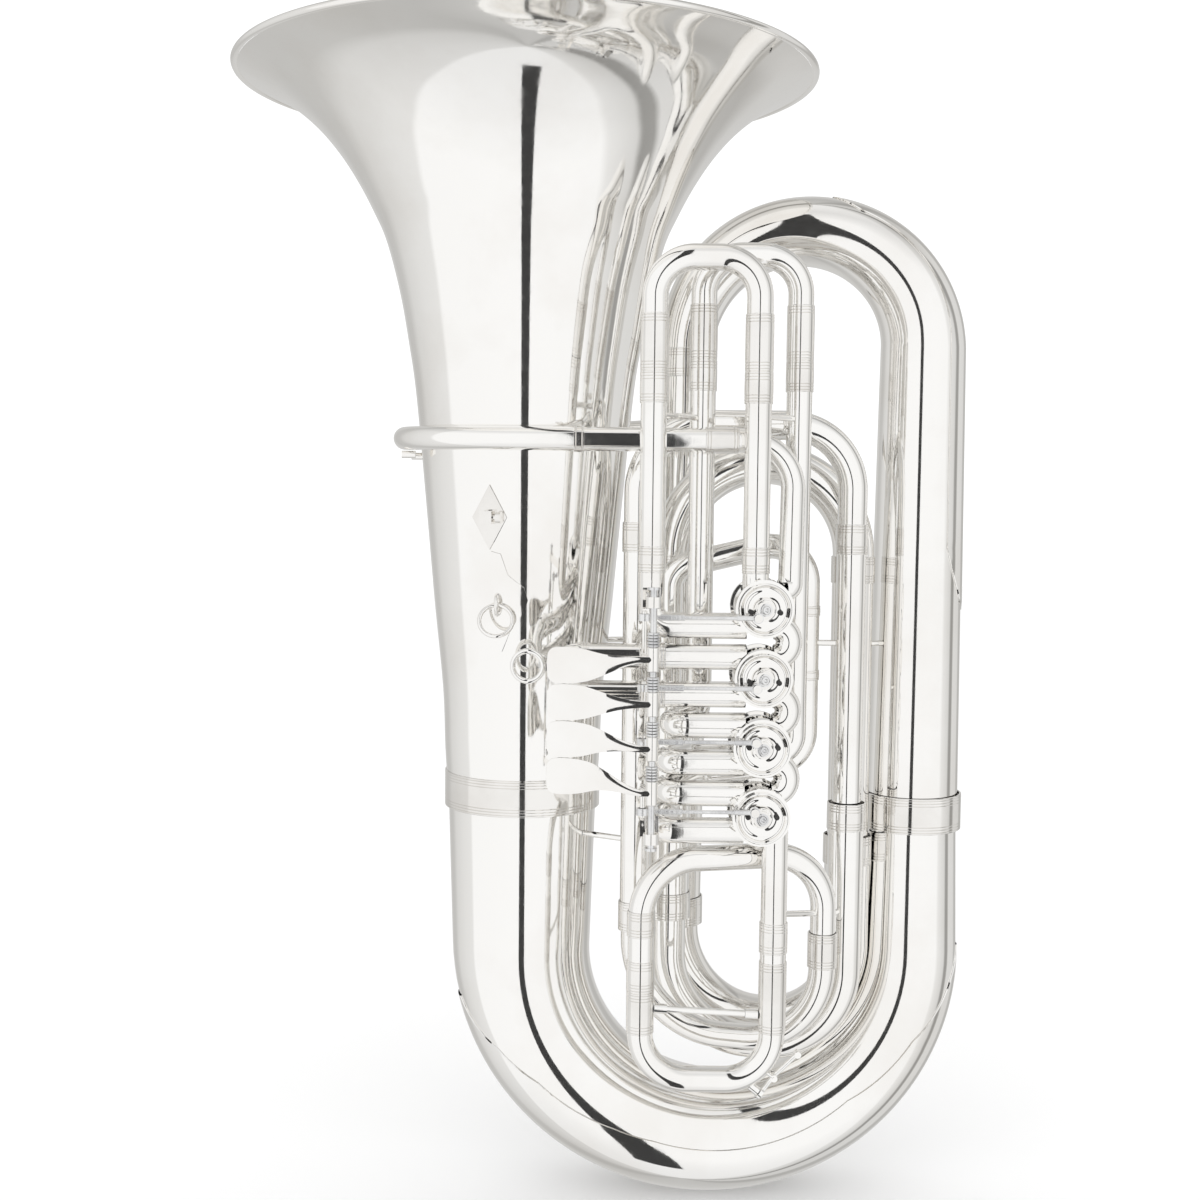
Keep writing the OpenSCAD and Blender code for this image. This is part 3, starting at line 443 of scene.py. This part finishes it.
def top_guard():
    """The long shield up the right branch and over the top bow, rounded off at both ends."""
    start_z, straight, curved = 500, 30, 36
    stations = []
    for k in range(straight):
        share = k / (straight - 1)
        z = start_z + (TOP_Z - start_z) * share
        radius = BRANCH_LOW_R + (BRANCH_TOP_R - BRANCH_LOW_R) * (z - BOW_END_Z) / (TOP_Z - BOW_END_Z)
        half = min(60.0, 4 + 56 * math.sqrt(min(1, share / 0.24)))
        stations.append((Vector((BRANCH_X - 0.5 + 0.5 * share, 0, z)), Vector(EAST), radius, half))
    for k in range(1, curved + 1):
        half = (60 - 20 * k / curved) * math.sqrt(min(1, (curved + 0.2 - k) / 5))
        stations.append((*top_station(80 * k / curved), half))
    guard("top_guard", stations, ["top_bow_guard", "branch_guard"])


def top_bow():
    """Right branch and top bow in one skin, and the band at the branch's lower end."""
    m = Mesh()
    rows = [ring(Vector((BRANCH_X - 1, 0, BOW_END_Z + 0.2)), Vector(EAST), BACK, BRANCH_LOW_R, 80)]
    for k in range(73):
        point, out, radius = top_station(180 * k / 72)
        rows.append(ring(point, out, BACK, radius, 80))
    m.grid(rows)
    m.build("first_branch_and_top_bow", "horn", SILVER, ["first_branch", "top_bow"])
    band = Mesh()
    ferrule(band, (BRANCH_X - 1, 0, 330), UP, 42.0, 30, bore=40.4)
    band.build("branch_band", "horn", NICKEL, ["right_ferrule"])


# ------------------------------------------------------------------ small tubing
def bow(a, b, start, turn, end):
    """Corners of a U-shaped tube: leg a from the start height, across at the turn, leg b to the end height."""
    return [(*a, start), (*a, turn), (*b, turn), (*b, end)]


def crook(xs, y, low, high):
    """Pipes of a slide that pulls upwards: its bow and its two inner legs."""
    left, right = xs
    legs = [([(x, y, low - 80), (x, y, low + 2)], [], LEG_R, None) for x in xs]
    return [(bow((left, y), (right, y), low + 0.2, high, low + 0.2), [SLIDE_BEND] * 2, TUBE_R, None)] + legs


def tubing():
    """Each entry: CAD node, body, pipes (corners, bends, radius, end radius) and ferrules."""
    tune_left, tune_right = ((x, FRONT_Y) for x in TUNING_XS)
    first_left, first_right = ((x, FRONT_Y) for x in FIRST_XS)
    third_left, third_right = ((x, THIRD_Y) for x in THIRD_XS)
    fourth_left, fourth_right = ((x, FOURTH_Y) for x in FOURTH_XS)
    port, bend = (VALVE_X - 12, FRONT_Y), (BEND_X, FRONT_Y)
    z1, z2, z3, z4 = (valve_z(n) for n in range(1, 5))
    e_joint, inner_joint, c_joint = 300, 250, 335
    return [
        ("second_branch", "horn",
         [([(SECOND_X, SECOND_Y, TOP_Z), (*SECOND_END, 224)], [], SECOND_TOP_R, 20.5)],
         [((SECOND_X, SECOND_Y, TOP_Z - 12), UP, 24.8, 24)]),
        ("second_bottom_bow", "horn", [(bow(SECOND_END, E_RIGHT, 226, 146, e_joint), [72, 72], 18.8, None)],
         [((*SECOND_END, 234), UP, 22.6, 24), ((*E_RIGHT, e_joint), UP, 20.2, 24)]),
        ("upper_inner_bow", "horn",
         [(bow(E_RIGHT, E_LEFT, e_joint, 621, inner_joint), [74.5, 74.5], 17, None)],
         [((*E_RIGHT, 534), UP, 18.2, 22), ((*E_LEFT, 534), UP, 18.2, 22)]),
        ("third_bottom_bow", "horn",
         [(bow(E_LEFT, C_RIGHT, inner_joint, 140, c_joint), [68, 68], 14.4, None)],
         [((*E_LEFT, inner_joint), UP, 18.4, 22), ((*C_RIGHT, c_joint), UP, 15.6, 22)]),
        ("front_upper_bow", "horn",
         [(bow(C_RIGHT, C_LEFT, c_joint, 651, inner_joint), [52, 55], 11.8, None)],
         [((*C_RIGHT, 560), UP, 13, 24), ((*C_LEFT, 560), UP, 13, 24)]),
        ("tuning_loop", "horn", [(bow(C_LEFT, LOOP, inner_joint, 156, 221), [75, 62], 10.6, None)],
         [((*C_LEFT, inner_joint), UP, 13, 24), ((*LOOP, 233), UP, 11.8, 28)]),
        ("tuning_slide_legs", "horn",
         [([(*tune_right, z4 - 4), (*tune_right, 240)], [], TUBE_R, None),
          (bow(tune_left, LOOP, 209, 311, 220), [44, 44], TUBE_R, None)],
         [((*tune_right, 252), UP, 11, 24), ((*tune_left, 221), UP, 11, 24), ((*tune_left, 262), UP, 11, 20)]),
        ("first_slide_legs", "horn",
         [([(*first_right, z1 + 10), (*first_right, 688)], [], TUBE_R, None),
          ([(*port, z1 - PORT), (*first_left, z1 - PORT), (*first_left, 688)], [14], TUBE_R, None)],
         [((x, FRONT_Y, z), UP, r, h) for x in FIRST_XS for z, r, h in ((676, 11, 24), (545, 10.8, 20))]),
        ("third_slide_legs", "horn",
         [([(*port, z3 + PORT), (*bend, z3 + PORT), (*third_left, z3 + PORT), (*third_left, 700)],
           [12, 14], TUBE_R, None),
          ([(*port, z3 - PORT), (*bend, z3 - PORT), (-30, THIRD_Y, z3 - PORT), (*third_right, z3 - PORT),
            (*third_right, 700)], [12, 14, 16], TUBE_R, None)],
         [((x, THIRD_Y, 688), UP, 11, 24) for x in THIRD_XS]),
        ("second_slide_legs", "horn",
         [([(*port, z), (-70, FRONT_Y, z)], [], TUBE_R, None) for z in (z2 - PORT, z2 + PORT)],
         [((-60, FRONT_Y, z), EAST, 11, 20) for z in (z2 - PORT, z2 + PORT)]),
        ("fourth_valve_loop", "horn",
         [([(*port, z4 + PORT), (*bend, z4 + PORT), (-20, FOURTH_Y, z4 + PORT + 4),
            (*fourth_right, z4 + PORT + 14), (*fourth_right, 562), (*fourth_left, 535),
            (*fourth_left, z4 - PORT), (*bend, z4 - PORT), (*port, z4 - PORT)],
           [12, 20, 28, 30, 20, 14, 12], TUBE_R, None)],
         [((*fourth_right, z), UP, 10.8, 8) for z in (450, 502)]),
        ("main_tuning_slide", "tuning_slide",
         [(bow(tune_left, tune_right, 209, 138.4, 240), [37, 37], TUBE_R, None),
          ([(*tune_left, 208), (*tune_left, 262)], [], LEG_R, None),
          ([(*tune_right, 239), (*tune_right, 318)], [], LEG_R, None),
          # the brace between its legs and the brace's two collars
          ([(-55, FRONT_Y, 194.4), (26, FRONT_Y, 190.6)], [], 2.6, None),
          ([(-54.8, FRONT_Y, 194.5), (-45, FRONT_Y, 194)], [], 3.8, None),
          ([(16, FRONT_Y, 191), (25.8, FRONT_Y, 190.5)], [], 3.8, None)],
         [((*tune_left, 192), UP, 10.8, 33), ((*tune_right, 205), UP, 10.8, 56)]),
        ("first_slide", "first_slide", crook(FIRST_XS, FRONT_Y, 688, 774),
         [((x, FRONT_Y, 710), UP, 10.9, 43) for x in FIRST_XS]),
        ("third_slide", "third_slide", crook(THIRD_XS, THIRD_Y, 700, 782),
         [((x, THIRD_Y, 722), UP, 10.9, 43) for x in THIRD_XS]),
        ("second_slide", "second_slide",
         [([(-70.2, FRONT_Y, z2 + PORT), (-129, FRONT_Y, z2 + PORT), (-129, FRONT_Y, z2 - PORT),
            (-70.2, FRONT_Y, z2 - PORT)], [PORT, PORT], TUBE_R, None)]
         + [([(-72, FRONT_Y, z), (-20, FRONT_Y, z)], [], LEG_R, None) for z in (z2 - PORT, z2 + PORT)],
         [((-111.5, FRONT_Y, z), EAST, 10.8, 5) for z in (z2 - PORT, z2 + PORT)]),
    ]


def seat(mesh, first, corners):
    """Trims the vertices from first on to the round of a valve casing that the tube ends in."""
    for end, inner in ((corners[0], corners[1]), (corners[-1], corners[-2])):
        for n in range(1, 5):
            z_valve = valve_z(n)
            if end[1] > CASING_BACK_Y or math.hypot(end[0] - VALVE_X, end[2] - z_valve) > SEAT_R:
                continue
            sideways = abs(end[0] - inner[0]) > abs(end[2] - inner[2])
            for i in range(first, len(mesh.verts)):
                x, y, z = mesh.verts[i]
                across_x, across_z = x - VALVE_X, z - z_valve
                if y > CASING_BACK_Y or math.hypot(across_x, across_z) >= SEAT_R:
                    continue
                if sideways:
                    x = VALVE_X + math.copysign(math.sqrt(SEAT_R ** 2 - across_z ** 2), end[0] - VALVE_X)
                else:
                    z = z_valve + math.copysign(math.sqrt(SEAT_R ** 2 - across_x ** 2), end[2] - z_valve)
                mesh.verts[i] = (x, y, z)


def small_tubing():
    """Every tube and its ferrules, from the table."""
    for name, body, pipes, bands in tubing():
        tube = Mesh()
        for corners, bends, radius, end in pipes:
            first = len(tube.verts)
            pipe(tube, corners, bends, radius, end, 56 if radius > 12 else 40)
            seat(tube, first, corners)
        tube.build(name + "_tube", body, SILVER, [name])
        rings = Mesh()
        for centre, way, radius, length in bands:
            ferrule(rings, centre, way, radius, length, 3 if length > 15 else 1)
        rings.build(name + "_bands", body, NICKEL, [name])


def leadpipe():
    """The pipe from behind the bell round its left side to the first valve, and its sleeves."""
    m = Mesh()
    wrap = 99.5
    left_x = BELL_X - wrap
    end = Vector((-42, 132, 652))
    corner = Vector((left_x, 103, 641))
    way = (end - corner).normalized()
    entry = valve_z(1) + PORT
    start, turn = Vector((left_x, -100.5, 637)), Vector((49, LEAD_Y, 637))
    route = [end - way * 24, corner, start, turn, (45.5, FRONT_Y + 3, entry), (VALVE_X + 15, FRONT_Y, entry)]
    pipe(m, route, [98, 98, 38, 4], LEAD_R)
    seat(m, 0, route)
    m.build("leadpipe_tube", "horn", SILVER, ["leadpipe"])
    bands = Mesh()
    for x, length, lines in ((-7, 26, 2), (-118, 8, 1)):
        place = start.lerp(turn, (x - start.x) / (turn.x - start.x))
        ferrule(bands, place, turn - start, 10.3, length, lines)
    bands.build("leadpipe_bands", "horn", NICKEL, ["leadpipe_sleeves"])


def stop_plates():
    """Dished front plates of the valves, and the screw that holds each crank."""
    # Profiles as distance to the front and radius
    plate = [(0, 5.6), (0, 19.3), (0.4, 19.8), (4.1, 19.8), (4.6, 19.3), (4.6, 18.6), (4.1, 18.0), (2.6, 17.6),
             (1.7, 16.9), (1.3, 15.8), (1.5, 14.6), (1.9, 13.9), (2.0, 13.2), (2.0, 9.4), (1.6, 8.6),
             (1.6, 7.6), (2.3, 7.0), (2.4, 6.4), (2.0, 5.6), (0, 5.6)]
    screw = [(0, 0), (0, 5.0), (0.5, 4.9), (0.7, 4.3), (0.7, 3.5), (1.7, 3.4), (2.3, 2.9), (2.5, 2.0),
             (2.2, 1.2), (1.6, 0.8), (1.6, 0)]
    plates = Mesh()
    for n in range(1, 5):
        lathe(plates, (VALVE_X, PLATE_Y, valve_z(n)), -BACK, plate, 72)
        head = Mesh()
        lathe(head, (VALVE_X, SCREW_Y, valve_z(n)), -BACK, screw, 40)
        head.build("crank_screw_%d" % n, "rotor_%d" % n, STEEL)
    plates.build("stop_plate_dishes", "horn", SILVER, ["stop_plates"])


def lever(n):
    """Paddle and arm in one smooth sheet, domed and leaning back a little at the tip, on a bored hub."""
    m = Mesh()
    steps = 12
    x_axle, y_axle = AXLE
    z = 474 - (n - 1) * 33.0
    tip_z = 469 - (n - 1) * 27.4
    rows = []
    for reach, half in spline(PADDLE, 5):
        share = min(1.0, max(0.0, (reach - 30) / 44))
        centre = tip_z + (z - tip_z) * share * share * (3 - 2 * share)
        dome = 0.055 * half + 0.8 * max(0.0, 1 - (half - ARM_HALF) / 5)
        x, y = x_axle - REACH + reach, y_axle + 6.0 * (1 - reach / REACH) ** 1.3
        across_face = [2 * k / steps - 1 for k in range(steps + 1)]
        rows.append([(x, y - 4.35 + dome * t * t, centre + half * t) for t in across_face]
                    + [(x, y - 4.1 + dome, centre + half + 0.15)]
                    + [(x, y - 2.9 + dome * t * t, centre + half * t) for t in reversed(across_face)]
                    + [(x, y - 3.2 + dome, centre - half - 0.15)])
    middle = [sum(values) / len(rows[0]) for values in zip(*rows[0])]
    cap = [(middle[0] - 0.2, middle[1], middle[2])] * len(rows[0])
    m.grid([cap] + rows)
    hub = [(0, 2.55), (0, 4.1), (0.5, 4.6), (17.5, 4.6), (18, 4.1), (18, 2.55), (0, 2.55)]
    lathe(m, (x_axle, y_axle, z - 9), UP, hub, 40)
    horn_z = z - {3: 6.5, 2: 4}.get(n, 0)
    rod_z = valve_z(n) + (-6.1 if n < 3 else 6.1)
    way = 1 if rod_z > horn_z else -1
    bar(m, (x_axle, y_axle + 4, horn_z), (HORN[0], HORN[1] - 1, horn_z), 2.2)
    bar(m, (*HORN, horn_z - 2.2 * way), (*HORN, rod_z + 5 * way), 1.9)
    m.build("finger_lever_%d" % n, "lever_%d" % n, SILVER, ["lever_%d" % n])


bell()
bottom_bow()
bottom_guard()
top_guard()
for number in range(1, 5):
    lever(number)
top_bow()
small_tubing()
leadpipe()
stop_plates()


# ------------------------------------------------------------------ CAD nodes that stay
for name, obj in frame["nodes"].items():
    if not obj.hide_render:
        slot_name = next(s["material_slot"] for s in frame["record"]["subparts"] if s["node"] == name)
        obj.data.materials.clear()
        obj.data.materials.append(SLOT_MATERIAL[slot_name])


# ------------------------------------------------------------------ studio
# Metres from here on; the camera stands in front of the horn, a little right of the bell
FRONT_X = -0.1005
CAMERA_PLACE = (FRONT_X, -1.344, 0.5969)
LENS = 47.8
PITCH, ROLL = math.radians(3.92), math.radians(0.6)
SURROUND = 1.12


def plain(name, shade):
    """A matt grey for the stage."""
    mat = bpy.data.materials.new(name)
    mat.use_nodes = True
    shader = mat.node_tree.nodes["Principled BSDF"]
    shader.inputs["Base Color"].default_value = grey(shade)
    shader.inputs["Roughness"].default_value = 0.9
    shader.inputs["Specular IOR Level"].default_value = 0.0
    return mat


def stage_piece(name, verts, faces, material):
    """A mesh that belongs to the studio and not to the object."""
    data = bpy.data.meshes.new(name)
    data.from_pydata(verts, [], faces)
    data.materials.append(material)
    obj = bpy.data.objects.new(name, data)
    bpy.context.scene.collection.objects.link(obj)
    return obj


def floor():
    """A pale sheet; polished metal shows the studio round it and not the sheet."""
    far = 9
    low = -0.0005
    corners = [(-far, -far, low), (far, -far, low), (far, far, low), (-far, far, low)]
    sheet = stage_piece("studio_floor", corners, [(0, 1, 2, 3)], plain("floor_paint", 0.93))
    sheet.visible_glossy = False


def flag(name, x, width, radius, low, high, shade):
    """A dark upright strip on an arc round the object, seen only in the metal."""
    verts, faces = [], []
    steps = 40
    for k in range(steps + 1):
        a = math.radians(low + (high - low) * k / steps)
        for side in (-0.5, 0.5):
            verts.append((x + side * width, -radius * math.cos(a), 0.5 + radius * math.sin(a)))
    for k in range(steps):
        faces.append((2 * k, 2 * k + 1, 2 * k + 3, 2 * k + 2))
    strip = stage_piece(name, verts, faces, plain(name + "_cloth", shade))
    strip.visible_camera = False
    strip.visible_diffuse = False
    strip.visible_shadow = False


def stepped(tree, stops):
    """A colour ramp with any number of stops."""
    made = tree.nodes.new("ShaderNodeValToRGB")
    elements = made.color_ramp.elements
    while len(elements) < len(stops):
        elements.new(0.5)
    for element, (position, colour) in zip(elements, stops):
        element.position = position
        element.color = colour
    return made


def world():
    """A white tent: bright in front, greyer at the sides, with two dim gaps behind the object."""
    made = bpy.data.worlds.new("studio")
    bpy.context.scene.world = made
    made.use_nodes = True
    tree = made.node_tree
    back = tree.nodes["Background"]
    place = tree.nodes.new("ShaderNodeTexCoord")
    split = tree.nodes.new("ShaderNodeSeparateXYZ")
    tree.links.new(place.outputs["Generated"], split.inputs["Vector"])
    turn = node(tree, "ShaderNodeMath", operation="ARCTAN2")
    minus = node(tree, "ShaderNodeMath", operation="MULTIPLY")
    minus.inputs[1].default_value = -1
    tree.links.new(split.outputs["Y"], minus.inputs[0])
    tree.links.new(split.outputs["X"], turn.inputs[0])
    tree.links.new(minus.outputs[0], turn.inputs[1])
    share = node(tree, "ShaderNodeMapRange")
    share.inputs["From Min"].default_value = -math.pi
    share.inputs["From Max"].default_value = math.pi
    tree.links.new(turn.outputs[0], share.inputs["Value"])
    # azimuth from the camera's side in degrees, brightness; the dim stops are a little warm
    stops = [(-180, 0.64), (-160, 0.62), (-150, 0.55), (-138, 0.57), (-126, 0.70), (-104, 0.78), (-86, 0.82),
             (-82, 0.985), (-20, 1.0), (30, 1.0), (62, 0.985), (68, 0.84), (88, 0.70), (92, 0.34), (100, 0.36),
             (104, 0.74), (128, 0.72), (136, 0.50), (146, 0.48), (156, 0.62), (180, 0.64)]
    bands = stepped(tree, [((degrees + 180) / 360, (v, v * (1 - 0.02 * (1 - v)), v * (1 - 0.07 * (1 - v)), 1))
                           for degrees, v in stops])
    tree.links.new(share.outputs[0], bands.inputs["Fac"])
    # sine of the elevation from straight down to straight up, brightness
    levels = [(0.0, 0.86), (0.10, 0.95), (0.16, 1.0), (0.80, 1.0), (0.93, 0.80), (1.0, 0.90)]
    height = stepped(tree, [(position, grey(value)) for position, value in levels])
    lift = node(tree, "ShaderNodeMapRange")
    lift.inputs["From Min"].default_value = -1
    tree.links.new(split.outputs["Z"], lift.inputs["Value"])
    tree.links.new(lift.outputs[0], height.inputs["Fac"])
    both = node(tree, "ShaderNodeMix", data_type="RGBA", blend_type="MULTIPLY")
    both.inputs[0].default_value = 1
    tree.links.new(bands.outputs["Color"], both.inputs[COLOUR_A])
    tree.links.new(height.outputs["Color"], both.inputs[COLOUR_B])
    seen = tree.nodes.new("ShaderNodeLightPath")
    mixed = node(tree, "ShaderNodeMix", data_type="RGBA")
    mixed.inputs[COLOUR_A].default_value = grey(SURROUND)
    tree.links.new(seen.outputs["Is Glossy Ray"], mixed.inputs[0])
    tree.links.new(both.outputs[COLOUR_OUT], mixed.inputs[COLOUR_B])
    tree.links.new(mixed.outputs[COLOUR_OUT], back.inputs["Color"])
    back.inputs["Strength"].default_value = 1.0


def lamp(name, place, aim, size, power):
    """A soft rectangular light that the metal doesn't show."""
    data = bpy.data.lights.new(name, "AREA")
    data.shape = "RECTANGLE"
    data.size, data.size_y = size
    data.energy = power
    obj = bpy.data.objects.new(name, data)
    obj.location = place
    way = Vector(aim) - Vector(place)
    obj.rotation_euler = way.to_track_quat("-Z", "Y").to_euler()
    obj.visible_glossy = False
    bpy.context.scene.collection.objects.link(obj)


def camera():
    """Level with the valves' upper part and tilted down a little."""
    data = bpy.data.cameras.new("camera")
    data.sensor_width = 36
    data.lens = LENS
    obj = bpy.data.objects.new("camera", data)
    obj.location = CAMERA_PLACE
    tilt = Matrix.Rotation(math.pi / 2 - PITCH, 4, "X")
    obj.rotation_euler = (tilt @ Matrix.Rotation(ROLL, 4, "Z")).to_euler()
    bpy.context.scene.collection.objects.link(obj)
    bpy.context.scene.camera = obj


floor()
world()
flag("front_gap", FRONT_X, 0.19, 1.42, -72, 58, 0.05)
lamp("overhead", (-0.4, -0.6, 3.2), (0, 0, 0), (3, 3), 8)
camera()
bpy.context.scene.view_settings.view_transform = "Standard"
